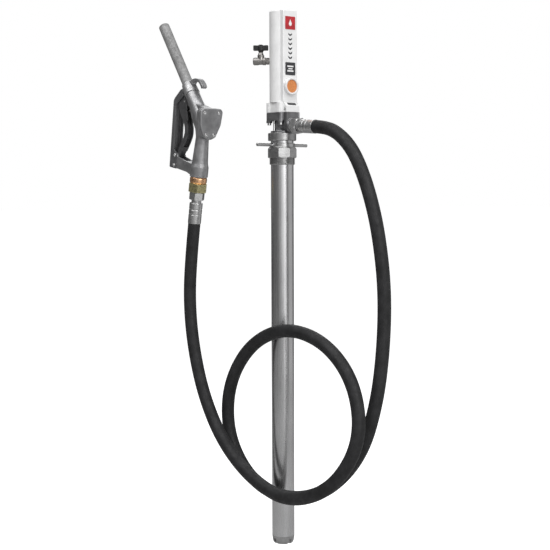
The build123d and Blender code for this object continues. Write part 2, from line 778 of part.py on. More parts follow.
with BuildPart() as outlet_ferrule:
    turn(outlet_frame, ferrule_outline(18.4, 22.8, 33.0, ferrule_end))
save(outlet_ferrule, "outlet_ferrule")

# ================================================================ hose
nozzle_ferrule_mouth = 112.0
hose_start = outlet_frame.origin + outlet_frame.z_dir * (ferrule_end - ferrule_grip)
hose_second = outlet_frame.origin + outlet_frame.z_dir * (ferrule_end - ferrule_grip + 44.0)
hose_end = nozzle_origin - nozzle_up * (nozzle_ferrule_mouth - ferrule_grip)
hose_last = nozzle_origin - nozzle_up * (nozzle_ferrule_mouth - ferrule_grip + 84.0)

# The route between the two ferrules, by hand: down beside the outlet, one open loop in front
# of the suction tube, then up to the nozzle.
hose_route = [
    hose_start,
    hose_second,
    (0, -198, 49),
    (3, -234, 19),
    (6, -261, -22),
    (10, -287, -82),
    (15, -310, -165),
    (20, -325, -285),
    (20, -322, -410),
    (10, -312, -535),
    (-10, -283, -655),
    (-35, -200, -745),
    (-50, -80, -782),
    (-60, 42, -760),
    (-70, 122, -665),
    (-75, 117, -540),
    (-70, 38, -433),
    (-60, -82, -383),
    (-47, -208, -407),
    (-45, -303, -490),
    (-55, -332, -612),
    (-75, -262, -722),
    (-95, -140, -770),
    (-105, -20, -740),
    (-110, 88, -668),
    (-112, 162, -567),
    (-112, 205, -452),
    (-112, 221, -338),
    hose_last,
    hose_end,
]


def bend_radii(route):
    """The radius at each corner: 0.45 of the shorter run over the tangent of half the turn."""
    points = [Vector(point) for point in route]
    radii = []
    for before, here, after in zip(points, points[1:], points[2:]):
        turn_angle = (here - before).get_angle(after - here)
        shorter = min((here - before).length, (after - here).length)
        radii.append(0.45 * shorter / math.tan(math.radians(turn_angle) / 2))
    return radii


hose_radii = bend_radii(hose_route)
with BuildPart() as hose_tube:
    with BuildLine() as hose_line:
        FilletPolyline(*hose_route, radius=hose_radii)
    with BuildSketch(Plane(origin=hose_start, z_dir=outlet_frame.z_dir)):
        Circle(hose_r)
    sweep(path=hose_line.wires()[0])
save(hose_tube, "hose_tube")
hose_length = hose_line.wires()[0].length
section_volume = math.pi * hose_r ** 2 * hose_length
print("hose length", round(hose_length), "radii", [round(radius) for radius in hose_radii])
print("hose volume against section times length", round(hose_tube.part.volume / section_volume, 5))

# ================================================================ fittings at the nozzle
hose_side_frame = Plane(origin=nozzle_origin, x_dir=(1, 0, 0), z_dir=-nozzle_up)
with BuildPart() as nozzle_ferrule:
    turn(hose_side_frame, ferrule_outline(51.0, 54.8, 62.0, nozzle_ferrule_mouth))
save(nozzle_ferrule, "nozzle_ferrule")

with BuildPart() as hose_end_hex:
    nut(hose_side_frame, 18.6, 37.6, 55.0, rotation=20)
    rod(hose_side_frame, swivel_bore_r - 0.1, 31.0, 37.6)
    rod(hose_side_frame, nipple_r, 50.9, 55.0, Mode.SUBTRACT)
    rod(hose_side_frame, outlet_bore_r, 30.0, 51.0, Mode.SUBTRACT)
save(hose_end_hex, "hose_end_hex")

with BuildPart() as swivel_nut:
    nut(hose_side_frame, 23.7, 15.6, 36.2, rotation=8)
    rod(hose_side_frame, swivel_bore_r, 15.0, 37.0, Mode.SUBTRACT)
save(swivel_nut, "swivel_nut")

inlet_r = 15.0          # the nozzle's inlet bore, where the swivel's top end sits
with BuildPart() as swivel_ring:
    passage_r = 11.0
    end_r = swivel_bore_r - running_gap
    bead_r = 20.5
    turn(
        grip_frame,
        [
            (passage_r, -30.0), (end_r, -30.0), (end_r, -15.3), (18.6, -15.3),
            (bead_r - 0.5, -13.2), (bead_r, -10.8), (bead_r, -4.8), (bead_r - 0.5, -2.3),
            (18.6, -0.2), (inlet_r, -0.2), (inlet_r, 14.0), (passage_r, 14.0),
        ],
    )
save(swivel_ring, "swivel_ring")


# ================================================================ nozzle
def cover_outline(shrink=0.0):
    """The valve cover's shield shape, wide at the top, seen along the nozzle's out axis."""
    across_plane = Plane(origin=nozzle_origin, x_dir=(1, 0, 0), z_dir=-nozzle_out)
    with BuildSketch(across_plane) as shape:
        with BuildLine(mode=Mode.PRIVATE) as corners:
            for side in (-1, 1):
                CenterArc((side * 21.5, 155.5), 10.0 - shrink, 0, 360)
                CenterArc((side * 5.5, 133.0), 24.0 - shrink, 0, 360)
                CenterArc((side * 11.0, 103.5), 7.5 - shrink, 0, 360)
            CenterArc((0, 112.0), 20.0 - shrink, 0, 360)
        make_hull(corners.edges())
    return shape.sketch


def at_out(sketch, distance):
    """A sketch moved along the nozzle's out axis."""
    return Location(nozzle_out * distance) * sketch


def strip(plane, centre, left_width, right_width):
    """A band with smooth edges at the given distances from a line of points."""
    points = [Vector(point) for point in centre]
    last = len(points) - 1
    lefts = []
    rights = []
    for index, point in enumerate(points):
        along = (points[min(index + 1, last)] - points[max(index - 1, 0)]).normalized()
        normal = Vector(-along.Y, along.X)
        lefts.append(point + normal * left_width)
        rights.append(point - normal * right_width)
    with BuildSketch(plane) as band:
        with BuildLine():
            left_edge = Spline(*lefts)
            right_edge = Spline(*rights)
            Line(left_edge @ 0, right_edge @ 0)
            Line(left_edge @ 1, right_edge @ 1)
        make_face()
    return band.sketch


def along_side(out_distance, up_distance):
    """A point of the nozzle's middle plane."""
    return nozzle_origin + nozzle_out * out_distance + nozzle_up * up_distance


def cross_hole(spot, radius):
    """A hole right through, across the nozzle's middle plane."""
    with BuildSketch(side_plane) as hole:
        with Locations(spot):
            Circle(radius)
    extrude(hole.sketch, amount=20.0, both=True, mode=Mode.SUBTRACT)


def screw_frame_at(across, up):
    """The frame of one of the cover's screws."""
    origin = nozzle_origin + nozzle_up * up + Vector(across, 0, 0)
    return Plane(origin=origin, x_dir=(1, 0, 0), z_dir=-nozzle_out)


def clear_bushing(low):
    """Cut away the spout's bushing from the given height up, and leave the spout clear."""
    turn(
        spout_frame,
        [
            (0, low), (bushing_r + 0.02, low), (bushing_r + 0.02, 89.4), (bushing_r - 0.68, 90.2),
            (bushing_r - 0.68, 100.0), (15.42, bushing_end), (15.0, bushing_end + 0.3),
            (15.0, 125.0), (0, 125.0),
        ],
        mode=Mode.SUBTRACT,
    )


gasket_face = 23.5
cover_face = 24.5
cover_back = 29.5
head_root = 13.0        # where the head starts, in front of the cover
screw_seat = 27.0       # the screw heads' seat in the cover
socket_face = 30.4
cover_screw_spots = [(-20.5, 155.0), (20.5, 155.0), (-11.0, 103.5), (11.0, 103.5)]
screw_hole_r = 2.1
screw_head_r = 4.1
guard_screw_spots = [(88.5, 39.0), (88.5, 14.5)]
guard_hole_r = 2.5
head_half = 13.0
chamber_bore = 11.0
valve_seat = 12.0
passage_start = 30.0
grip_r = 15.6
arm_half = 13.0
tongue_half = 9.9
slot_half = 8.4
lug_half = 6.0
pin_r = 3.0
stem_r = 3.5

with BuildPart() as nozzle_body:
    # inlet boss and tapering grip tube
    turn(
        grip_frame,
        [
            (0, 0), (20.8, 0), (21.6, 0.8), (21.6, 24.0), (20.8, 27.0), (19.4, 32.0), (18.9, 37.0),
            (grip_r, 92.0), (grip_r, 131.0), (0, 131.0),
        ],
    )
    # head behind the cover, with the wedge that joins it to the barrel
    extrude(at_out(cover_outline(), -head_root), amount=gasket_face - head_root)
    head_side = [(-14, 93), (9, 93), (15, 112), (34, 135), (46, 160), (26, 171), (-14, 165)]
    extrude(outline(side_plane, head_side), amount=head_half, both=True)
    # front barrel
    turn(spout_frame, [(0, -8), (18.5, -8), (18.5, 30), (17.3, 60), (17.3, 82), (0, 82)])
    # tapering boss for the valve stem, with a collar for its gland, and the lug for the lever's pin
    turn(valve_frame, [(0, 15.0), (12.5, 15.0), (9.5, 44.0), (8.5, 45.5), (0, 45.5)])
    rod(valve_frame, 6.2, 45.0, 50.0)
    lug_side = [(48, 158), (76, 163), (80, 166.5), (80, 174), (77, 177), (69, 175), (50, 172)]
    extrude(outline(side_plane, lug_side), amount=lug_half, both=True)
    # arm that carries the foot of the guard
    arm_side = [
        (5, 2), (24, 3), (34, 6), (78, 8), (96, 8.5), (96, 45), (84, 45), (76, 37), (40, 31), (15, 28),
    ]
    extrude(outline(side_plane, arm_side), amount=arm_half, both=True)
    # slot for the lever's tail, and the narrow end that goes between the guard's cheeks
    slot_side = [(44, 18.5), (99, 18.5), (99, 46), (44, 46)]
    extrude(outline(side_plane, slot_side), amount=slot_half, both=True, mode=Mode.SUBTRACT)
    for side in (-1, 1):
        cheek_side = [(80, 0), (100, 0), (100, 46), (80, 46)]
        cheek = outline(side_plane.offset(side * tongue_half), cheek_side)
        extrude(cheek, amount=side * 6.0, mode=Mode.SUBTRACT)
    # passages: inlet, grip, valve chamber, seat, spout
    rod(grip_frame, inlet_r, -1.0, 14.0, Mode.SUBTRACT)
    rod(grip_frame, 10.5, 13.0, 142.0, Mode.SUBTRACT)
    rod(valve_frame, chamber_bore, -24.0, valve_seat, Mode.SUBTRACT)
    rod(valve_frame, 7.0, valve_seat - 1.0, 24.0, Mode.SUBTRACT)
    rod(spout_frame, 10.0, passage_start, 83.0, Mode.SUBTRACT)
    rod(spout_frame, 14.6, 74.0, 83.0, Mode.SUBTRACT)
    rod(valve_frame, stem_r + running_gap, valve_seat, 52.0, Mode.SUBTRACT)
    # holes for the pin and the guard's screws
    cross_hole((pivot_out, pivot_up), pin_r)
    for spot in guard_screw_spots:
        cross_hole(spot, guard_hole_r)
save(nozzle_body, "nozzle_body")

with BuildPart() as nozzle_cover:
    extrude(at_out(cover_outline(), -cover_face), amount=cover_back - cover_face)
    fillet(nozzle_cover.faces().sort_by(Axis(nozzle_origin, nozzle_out))[0].edges(), 1.6)
    for across, up in cover_screw_spots:
        spot_frame = screw_frame_at(across, up)
        rod(spot_frame, screw_hole_r, 20.0, 31.0, Mode.SUBTRACT)
        rod(spot_frame, screw_head_r + 0.3, screw_seat, 31.0, Mode.SUBTRACT)
save(nozzle_cover, "nozzle_cover")

with BuildPart() as cover_gasket:
    extrude(at_out(cover_outline(0.4), -gasket_face), amount=cover_face - gasket_face)
    rod(valve_frame, chamber_bore + 0.5, -25.0, -23.0, Mode.SUBTRACT)
    for across, up in cover_screw_spots:
        spot_frame = screw_frame_at(across, up)
        rod(spot_frame, screw_hole_r, 20.0, 31.0, Mode.SUBTRACT)
save(cover_gasket, "cover_gasket")

with BuildPart() as cover_screws:
    for across, up in cover_screw_spots:
        spot_frame = screw_frame_at(across, up)
        rod(spot_frame, screw_hole_r - running_gap, gasket_face, screw_seat + 0.2)
        head_points = [
            (0, screw_seat + 0.05), (screw_head_r, screw_seat + 0.05), (screw_head_r, socket_face - 0.8),
            (screw_head_r - 0.8, socket_face), (0, socket_face),
        ]
        turn(spot_frame, head_points)
        with BuildSketch(spot_frame.offset(socket_face)) as socket:
            RegularPolygon(1.9, 6)
        cover_screws.pending_faces.clear()
        extrude(socket.sketch, amount=-2.0, mode=Mode.SUBTRACT)
save(cover_screws, "cover_screws")

# ---------------------------------------------------------------- spout
with BuildPart() as spout_bushing:
    turn(
        spout_frame,
        [
            (11.2, 74.3), (14.5, 74.3), (14.5, 82.1), (bushing_r - 0.6, 82.1), (bushing_r, 82.8),
            (bushing_r, 89.4), (bushing_r - 0.7, 90.2), (bushing_r - 0.7, 100.0),
            (15.4, bushing_end), (spout_root_r + 0.02, bushing_end),
            (spout_root_r + 0.02, spout_start), (11.2, spout_start),
        ],
    )
save(spout_bushing, "spout_bushing")

with BuildPart() as spout:
    turn(
        spout_frame,
        [
            (spout_r - 1.6, spout_start + 0.1), (spout_root_r, spout_start + 0.1),
            (spout_root_r, bushing_end + 0.1), (spout_r, bushing_end + 0.1), (spout_r, spout_end - 1.0),
            (spout_r - 0.6, spout_end), (spout_r - 1.6, spout_end),
        ],
    )
save(spout, "spout")

# ---------------------------------------------------------------- hanging hook
hook_half = 7.0
hook_line = [
    (64, 214.5), (57, 219.5), (49, 223.5), (39, 225.5), (29, 224.5), (20, 219.5), (11.5, 209.5),
]
with BuildPart() as hanging_hook:
    extrude(strip(side_plane, hook_line, 3.4, 3.4), amount=hook_half, both=True)
    tip_edges = hanging_hook.edges().filter_by(Axis.X).sort_by_distance(along_side(8.8, 211.8))[0:2]
    fillet(tip_edges, 2.2)
    # saddle that sits on the bushing
    saddle_side = [(57, 208), (66, 216.5), (71.5, 217.5), (61, 221), (52, 219)]
    extrude(outline(side_plane, saddle_side), amount=hook_half, both=True)
    clear_bushing(80.0)
save(hanging_hook, "hanging_hook")

# ---------------------------------------------------------------- guard
guard_wall = 3.0
guard_half = 13.0
guard_top = 115.0       # how far out its back is at the top, and at the foot
guard_foot = 108.0
with BuildPart() as trigger_guard:
    guard_side = [
        (76, 183), (84, 199), (90, 196), (110, 175.5), (113.5, 171), (guard_top, 166),
        (guard_foot, 9.5), (106, 7), (80.4, 7), (80.4, 40), (85, 46), (96.5, 52), (103.5, 160),
    ]
    extrude(outline(side_plane, guard_side), amount=guard_half, both=True)
    # the channel is open towards the lever
    channel_side = [
        (70, 176), (82, 193), (88, 191.5), (107, 173), (110.5, 169), (guard_top - guard_wall, 165),
        (guard_foot - guard_wall, 9), (99, 5), (78, 5), (78, 44), (70, 60),
    ]
    channel = outline(side_plane, channel_side)
    extrude(channel, amount=guard_half - guard_wall, both=True, mode=Mode.SUBTRACT)
    clear_bushing(60.0)
    for spot in guard_screw_spots:
        cross_hole(spot, guard_hole_r)
save(trigger_guard, "trigger_guard")

head_top = 15.4
with BuildPart() as guard_screws:
    for out_distance, up_distance in guard_screw_spots:
        for side in (-1, 1):
            screw_origin = along_side(out_distance, up_distance)
            screw_frame = Plane(origin=screw_origin, x_dir=nozzle_up, z_dir=(side, 0, 0))
            rod(screw_frame, guard_hole_r - running_gap, slot_half + 0.2, guard_half + 0.1)
            head_low = guard_half + 0.05
            turn(
                screw_frame,
                [(0, head_low), (4.3, head_low), (4.3, 14.4), (3.2, head_top), (0, head_top)],
            )
            with BuildSketch(screw_frame.offset(head_top)) as socket:
                RegularPolygon(2.0, 6)
            guard_screws.pending_faces.clear()
            extrude(socket.sketch, amount=-1.5, mode=Mode.SUBTRACT)
save(guard_screws, "guard_screws")

# ---------------------------------------------------------------- lever
cheek_in = 6.5
cheek_out = 9.5
tail_half = 7.6
pad_face = 72.3
with BuildPart() as trigger_lever:
    head_plate = [
        (82, 184.5), (90, 182.5), (96, 177), (97.5, 168), (93, 150), (83, 134), (74, 126), (62, 120),
        (54.5, 126), (57.5, 138), (62, 150), (64, 163), (70, 176),
    ]
    extrude(outline(side_plane, head_plate), amount=cheek_out, both=True)
    grip_line = [
        (71, 137), (63.5, 122), (57.5, 108), (56.5, 94), (61.5, 79), (70, 63), (79, 47), (87.5, 34),
    ]
    extrude(strip(side_plane, grip_line, 6.0, 6.0), amount=cheek_out, both=True)
    # narrow tail
    tail_side = [(50, 20), (120, 20), (120, 51), (50, 51)]
    for side in (-1, 1):
        tail_cut = outline(side_plane.offset(side * tail_half), tail_side)
        extrude(tail_cut, amount=side * 6.0, mode=Mode.SUBTRACT)
    # hollow between the cheeks: open towards the grip tube
    hollow = [
        (50, 112), (56.5, 122), (69.5, 134), (78, 147), (83, 160), (84, 172), (79, 192), (40, 192),
        (40, 112),
    ]
    extrude(outline(side_plane, hollow), amount=cheek_in, both=True, mode=Mode.SUBTRACT)
    hollow_line = [(69, 134), (62, 121), (55.5, 108), (54.5, 94), (59.5, 78), (67.5, 63)]
    extrude(strip(side_plane, hollow_line, 4.0, 12.0), amount=cheek_in, both=True, mode=Mode.SUBTRACT)
    # cross piece that pushes the stem
    cross_piece = [(pad_face, 144), (77, 142), (80, 150), (79, 157), (pad_face, 157)]
    extrude(outline(side_plane, cross_piece), amount=cheek_in, both=True)
    cross_hole((pivot_out, pivot_up), pin_r + running_gap)
save(trigger_lever, "trigger_lever")

with BuildPart() as lever_pin:
    with BuildSketch(side_plane):
        with Locations((pivot_out, pivot_up)):
            Circle(pin_r)
    extrude(amount=cheek_out, both=True)
save(lever_pin, "lever_pin")

# ---------------------------------------------------------------- valve
stem_tip = 72.0
with BuildPart() as poppet_stem:
    turn(valve_frame, [(0, 6.0), (9.6, 6.0), (10.0, 6.4), (10.0, 11.5), (9.6, 11.95), (0, 11.95)])
    rod(valve_frame, stem_r, 11.0, stem_tip - stem_r)
    with Locations(along_side(stem_tip - stem_r, valve_up)):
        Sphere(stem_r)
save(poppet_stem, "poppet_stem")

with BuildPart() as stem_gland:
    with BuildSketch(valve_frame.offset(50.1)):
        RegularPolygon(6.1, 6)
    extrude(amount=6.5)
    rod(valve_frame, stem_r + running_gap, 50.0, 57.0, Mode.SUBTRACT)
save(stem_gland, "stem_gland")

spring_frame = Plane(origin=valve_frame.origin - nozzle_out * 17.6, x_dir=(1, 0, 0), z_dir=nozzle_out)
with BuildPart() as poppet_spring:
    with BuildLine():
        coil = Helix(4.4, 22.4, 7.6, center=spring_frame.origin, direction=spring_frame.z_dir)
    with BuildSketch(Plane(origin=coil @ 0, z_dir=coil % 0)):
        Circle(0.9)
    sweep()
save(poppet_spring, "poppet_spring")
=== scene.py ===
"""Looks of the drum barrel pump: studio, hose, cast and machined pieces, and every material."""

import json
import math

import bpy
from mathutils import Matrix, Vector


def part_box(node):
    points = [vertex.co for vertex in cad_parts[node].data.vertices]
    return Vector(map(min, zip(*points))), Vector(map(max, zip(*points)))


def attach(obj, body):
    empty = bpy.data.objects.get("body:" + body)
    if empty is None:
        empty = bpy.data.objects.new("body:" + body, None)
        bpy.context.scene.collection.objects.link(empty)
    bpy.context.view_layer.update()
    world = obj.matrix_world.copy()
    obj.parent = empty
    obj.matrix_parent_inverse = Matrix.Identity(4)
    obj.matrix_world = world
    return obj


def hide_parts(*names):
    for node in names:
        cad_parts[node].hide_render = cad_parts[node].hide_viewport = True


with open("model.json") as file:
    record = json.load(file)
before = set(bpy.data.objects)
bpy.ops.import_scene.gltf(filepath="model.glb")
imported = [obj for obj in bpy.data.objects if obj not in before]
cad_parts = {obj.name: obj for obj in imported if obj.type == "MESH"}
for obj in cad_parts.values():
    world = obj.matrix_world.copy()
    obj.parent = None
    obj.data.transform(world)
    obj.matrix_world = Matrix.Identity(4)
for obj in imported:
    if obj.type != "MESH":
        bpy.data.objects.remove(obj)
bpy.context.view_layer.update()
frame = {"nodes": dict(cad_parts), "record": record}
nodes = frame["nodes"]
record = frame["record"]
body_of_node = {
    node: body for body, members in record["behaviour"]["bodies"].items() for node in members
}
slot_of_node = {part["node"]: part["material_slot"] for part in record["subparts"]}


def new_object(name, data):
    """A new object, in the scene."""
    item = bpy.data.objects.new(name, data)
    bpy.context.scene.collection.objects.link(item)
    return item


# ---------------------------------------------------------------- camera
VIEW_AZIMUTH = math.radians(-38.5)      # 0 looks along +Y
VIEW_PITCH = math.radians(3.6)          # below the horizon
VIEW_ROLL = math.radians(0.2)
VIEW_DISTANCE = 3.0
VIEW_HEIGHT = -0.0833
VIEW_SHIFT_LEFT = 0.0177
LENS = 84.3
SENSOR_WIDTH = 36.0

right = Vector((math.cos(VIEW_AZIMUTH), math.sin(VIEW_AZIMUTH), 0))
ahead = Vector((-math.sin(VIEW_AZIMUTH), math.cos(VIEW_AZIMUTH), 0))


def make_camera():
    data = bpy.data.cameras.new("camera")
    data.lens = LENS
    data.sensor_width = SENSOR_WIDTH
    camera = new_object("camera", data)
    look = (ahead * math.cos(VIEW_PITCH) - Vector((0, 0, math.sin(VIEW_PITCH)))).normalized()
    up = right.cross(look)
    turned = Matrix.Rotation(VIEW_ROLL, 3, look)
    side, top = turned @ right, turned @ up
    place = -ahead * VIEW_DISTANCE - right * VIEW_SHIFT_LEFT + Vector((0, 0, VIEW_HEIGHT))
    rotation = Matrix((side, top, -look)).transposed().to_4x4()
    camera.matrix_world = Matrix.Translation(place) @ rotation
    bpy.context.scene.camera = camera


make_camera()

# ---------------------------------------------------------------- hose
HOSE_DIAMETER = 0.030
HOSE_STEPS = 14         # along each stretch of the route
HOSE_ROUNDNESS = 8      # finer with a higher number
HOSE_CURVE_ORDER = 3
# From the outlet's ferrule to the nozzle's: down beside the outlet, one open loop in front of
# the suction tube, then up to the nozzle.
HOSE_ROUTE = [
    (0, -0.1120, 0.0679), (0, -0.1559, 0.0649), (0, -0.198, 0.049), (0.003, -0.234, 0.019),
    (0.006, -0.261, -0.022), (0.010, -0.287, -0.082), (0.015, -0.310, -0.165),
    (0.020, -0.325, -0.285), (0.020, -0.322, -0.410), (0.010, -0.312, -0.535),
    (-0.010, -0.283, -0.655), (-0.035, -0.200, -0.745), (-0.050, -0.080, -0.782),
    (-0.060, 0.042, -0.760), (-0.070, 0.122, -0.665), (-0.075, 0.117, -0.540),
    (-0.070, 0.038, -0.433), (-0.060, -0.082, -0.383), (-0.047, -0.208, -0.407),
    (-0.045, -0.303, -0.490), (-0.055, -0.332, -0.612), (-0.075, -0.262, -0.722),
    (-0.095, -0.140, -0.770), (-0.105, -0.020, -0.740), (-0.110, 0.088, -0.668),
    (-0.112, 0.162, -0.567), (-0.112, 0.205, -0.452), (-0.112, 0.221, -0.338),
    (-0.110, 0.2132, -0.2271), (-0.110, 0.1986, -0.1444),
]


def round_bar(name, points, radius):
    """A round bar along a smooth NURBS line that has the points as its control points."""
    data = bpy.data.curves.new(name, "CURVE")
    data.dimensions = "3D"
    data.resolution_u = HOSE_STEPS
    data.bevel_depth = 1.0      # times each point's radius
    data.bevel_resolution = HOSE_ROUNDNESS
    data.use_fill_caps = True
    spline = data.splines.new("NURBS")
    spline.points.add(len(points) - 1)
    for control, point in zip(spline.points, points):
        control.co = (*point, 1.0)
        control.radius = radius
    spline.order_u = HOSE_CURVE_ORDER
    spline.use_endpoint_u = True
    return new_object(name, data)


hose = round_bar("hose", HOSE_ROUTE, HOSE_DIAMETER / 2)
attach(hose, "pump")
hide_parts("hose_tube")

# ---------------------------------------------------------------- materials
EDGE = 0.0004               # radius that a sharp edge seems to be rounded to
EDGE_SAMPLES = 4


class Shader:
    """A Principled material with short calls for the nodes that drive it."""

    def __init__(self, name, colour, roughness, metallic=0.0, edge=0.0, **sockets):
        self.material = bpy.data.materials.new(name)
        self.material.use_nodes = True
        self.tree = self.material.node_tree
        self.bsdf = self.tree.nodes["Principled BSDF"]
        self.colour = tuple(colour)
        self.bsdf.inputs["Base Color"].default_value = (*colour, 1)
        self.bsdf.inputs["Roughness"].default_value = roughness
        self.bsdf.inputs["Metallic"].default_value = metallic
        for socket, value in sockets.items():
            self.bsdf.inputs[socket.replace("_", " ")].default_value = value
        self.coords = self.add("ShaderNodeTexCoord").outputs["Object"]
        self.normal = None
        if edge:
            rounded = self.add("ShaderNodeBevel", samples=EDGE_SAMPLES)
            rounded.inputs["Radius"].default_value = edge
            self.normal = rounded.outputs["Normal"]
            self.link(self.normal, self.bsdf.inputs["Normal"])

    def add(self, kind, **settings):
        node = self.tree.nodes.new(kind)
        for key, value in settings.items():
            setattr(node, key, value)
        return node

    def link(self, source, target):
        self.tree.links.new(source, target)

    def stretched(self, scale):
        mapping = self.add("ShaderNodeMapping")
        mapping.inputs["Scale"].default_value = scale
        self.link(self.coords, mapping.inputs["Vector"])
        return mapping.outputs["Vector"]

    def noise(self, scale, detail=4.0, rough=0.55, stretch=None):
        texture = self.add("ShaderNodeTexNoise")
        texture.inputs["Scale"].default_value = scale
        texture.inputs["Detail"].default_value = detail
        texture.inputs["Roughness"].default_value = rough
        self.link(self.stretched(stretch) if stretch else self.coords, texture.inputs["Vector"])
        return texture.outputs["Fac"]

    def cells(self, scale):
        texture = self.add("ShaderNodeTexVoronoi")
        texture.inputs["Scale"].default_value = scale
        self.link(self.coords, texture.inputs["Vector"])
        return texture.outputs["Distance"]

    def waves(self, scale, direction, distortion):
        texture = self.add("ShaderNodeTexWave", bands_direction=direction)
        texture.inputs["Scale"].default_value = scale
        texture.inputs["Distortion"].default_value = distortion
        self.link(self.coords, texture.inputs["Vector"])
        return texture.outputs["Fac"]

    def maths(self, operation, first, second):
        node = self.add("ShaderNodeMath", operation=operation)
        for socket, value in zip(node.inputs, (first, second)):
            if isinstance(value, (int, float)):
                socket.default_value = value
            else:
                self.link(value, socket)
        return node.outputs["Value"]

    def ramp(self, factor, low, high, low_at=0.35, high_at=0.65):
        """A ramp from one grey or colour to another."""
        node = self.add("ShaderNodeValToRGB")
        ends = node.color_ramp.elements
        for end, value, place in ((ends[0], low, low_at), (ends[1], high, high_at)):
            end.position = place
            colour = (value, value, value) if isinstance(value, (int, float)) else value
            end.color = (*colour, 1)
        self.link(factor, node.inputs["Fac"])
        return node.outputs["Color"]

    def tint(self, factor, low, high, **places):
        """Vary the base colour between two multiples of itself."""
        lowest = tuple(min(1, c * low) for c in self.colour)
        highest = tuple(min(1, c * high) for c in self.colour)
        shades = self.ramp(factor, lowest, highest, **places)
        self.link(shades, self.bsdf.inputs["Base Color"])

    def vary_roughness(self, factor, low, high):
        self.link(self.ramp(factor, low, high), self.bsdf.inputs["Roughness"])

    def bump(self, height, depth, strength):
        node = self.add("ShaderNodeBump")
        node.inputs["Distance"].default_value = depth
        node.inputs["Strength"].default_value = strength
        self.link(height, node.inputs["Height"])
        if self.normal is not None:
            self.link(self.normal, node.inputs["Normal"])
        self.normal = node.outputs["Normal"]
        self.link(self.normal, self.bsdf.inputs["Normal"])


def polished_tube(name, colour):
    """Stainless tube, polished along its length."""
    shader = Shader(name, colour, roughness=0.2, metallic=1.0, edge=EDGE)
    lines = shader.noise(1.0, detail=5, rough=0.6, stretch=(900, 900, 7))
    shader.tint(shader.noise(9, detail=3), low=0.93, high=1.04)
    shader.vary_roughness(lines, low=0.22, high=0.34)
    shader.bump(lines, depth=0.00002, strength=0.35)
    return shader.material


def turned_metal(name, colour, roughness=0.28):
    """Lathe-turned metal with fine rings round the upright axis."""
    shader = Shader(name, colour, roughness, metallic=1.0, edge=EDGE)
    rings = shader.noise(1.0, detail=3, rough=0.5, stretch=(30, 30, 2600))
    shader.tint(shader.noise(60), low=0.85, high=1.06)
    shader.vary_roughness(rings, low=roughness * 0.75, high=roughness * 1.3)
    shader.bump(rings, depth=0.00003, strength=0.4)
    return shader.material


def plated_metal(name, colour, roughness):
    """Plated steel or brass: bright, a little uneven."""
    shader = Shader(name, colour, roughness, metallic=1.0, edge=EDGE)
    shader.tint(shader.noise(110), low=0.92, high=1.05)
    shader.vary_roughness(shader.noise(240), low=roughness * 0.8, high=roughness * 1.25)
    shader.bump(shader.noise(500, detail=2), depth=0.00002, strength=0.2)
    return shader.material


def cast_metal(name, colour, roughness, grain=0.00012):
    """Tumbled casting: grainy skin, darker in patches."""
    shader = Shader(name, colour, roughness, metallic=0.8, edge=EDGE)
    shader.tint(shader.noise(45, detail=5, rough=0.6), low=0.78, high=1.15)
    shader.vary_roughness(shader.noise(160), low=roughness * 0.85, high=roughness * 1.2)
    shader.bump(shader.noise(1500, detail=3, rough=0.6), depth=grain, strength=0.55)
    shader.bump(shader.noise(260, detail=3), depth=0.0002, strength=0.3)
    return shader.material


def powder_coat(name, colour):
    """White powder coat: orange peel and the faintest soiling."""
    shader = Shader(
        name, colour, roughness=0.32, edge=EDGE, Coat_Weight=0.15, Coat_Roughness=0.2,
    )
    shader.tint(shader.noise(28, detail=5), low=0.95, high=1.03)
    shader.vary_roughness(shader.noise(180, detail=3), low=0.27, high=0.4)
    shader.bump(shader.noise(850, detail=2), depth=0.00006, strength=0.35)
    return shader.material


def hose_cover(name, colour):
    """Black rubber with the weave of the wrapping cloth pressed into it."""
    shader = Shader(name, colour, roughness=0.55, Specular_IOR_Level=0.3)
    warp = shader.waves(620, "DIAGONAL", distortion=0.4)
    weft = shader.waves(560, "Z", distortion=0.4)
    weave = shader.maths("ADD", warp, weft)
    shader.tint(shader.noise(35, detail=6, rough=0.65), low=0.7, high=1.5)
    shader.vary_roughness(shader.noise(90, detail=5), low=0.44, high=0.66)
    shader.bump(weave, depth=0.0001, strength=0.35)
    shader.bump(shader.noise(60), depth=0.0006, strength=0.35)
    return shader.material


def moulded(name, colour, roughness=0.42):
    """Moulded plastic with a fine spark-eroded grain."""
    shader = Shader(name, colour, roughness, edge=EDGE)
    shader.tint(shader.noise(80), low=0.88, high=1.12)
    shader.vary_roughness(
        shader.noise(220, detail=3), low=roughness * 0.85, high=roughness * 1.2,
    )
    shader.bump(shader.noise(700, detail=3), depth=0.00005, strength=0.4)
    return shader.material


def rubber(name, colour):
    """Matt black rubber, a little dusty."""
    shader = Shader(name, colour, roughness=0.62, edge=EDGE)
    shader.tint(shader.noise(130), low=0.75, high=1.3)
    shader.vary_roughness(shader.noise(300, detail=3), low=0.52, high=0.75)
    shader.bump(shader.noise(800, detail=3), depth=0.00006, strength=0.4)
    return shader.material


def sintered(name, colour):
    """Sintered bronze: tiny balls fused together."""
    shader = Shader(name, colour, roughness=0.55, metallic=0.55)
    grains = shader.cells(1150)
    shader.tint(grains, low=1.12, high=0.72, low_at=0.2, high_at=0.62)
    shader.vary_roughness(shader.noise(400, detail=2), low=0.45, high=0.7)
    shader.bump(shader.maths("SUBTRACT", 1.0, grains), depth=0.0003, strength=0.7)
    return shader.material


def printed(name, colour):
    """Printing ink, with a faint unevenness."""
    shader = Shader(name, colour, roughness=0.4)
    shader.tint(shader.noise(300, detail=3), low=0.9, high=1.08)
    shader.bump(shader.noise(900, detail=2), depth=0.00002, strength=0.3)
    return shader.material


def grey(level, blue=1.0):
    """A grey, colder with more blue."""
    return (level, level, level * blue)


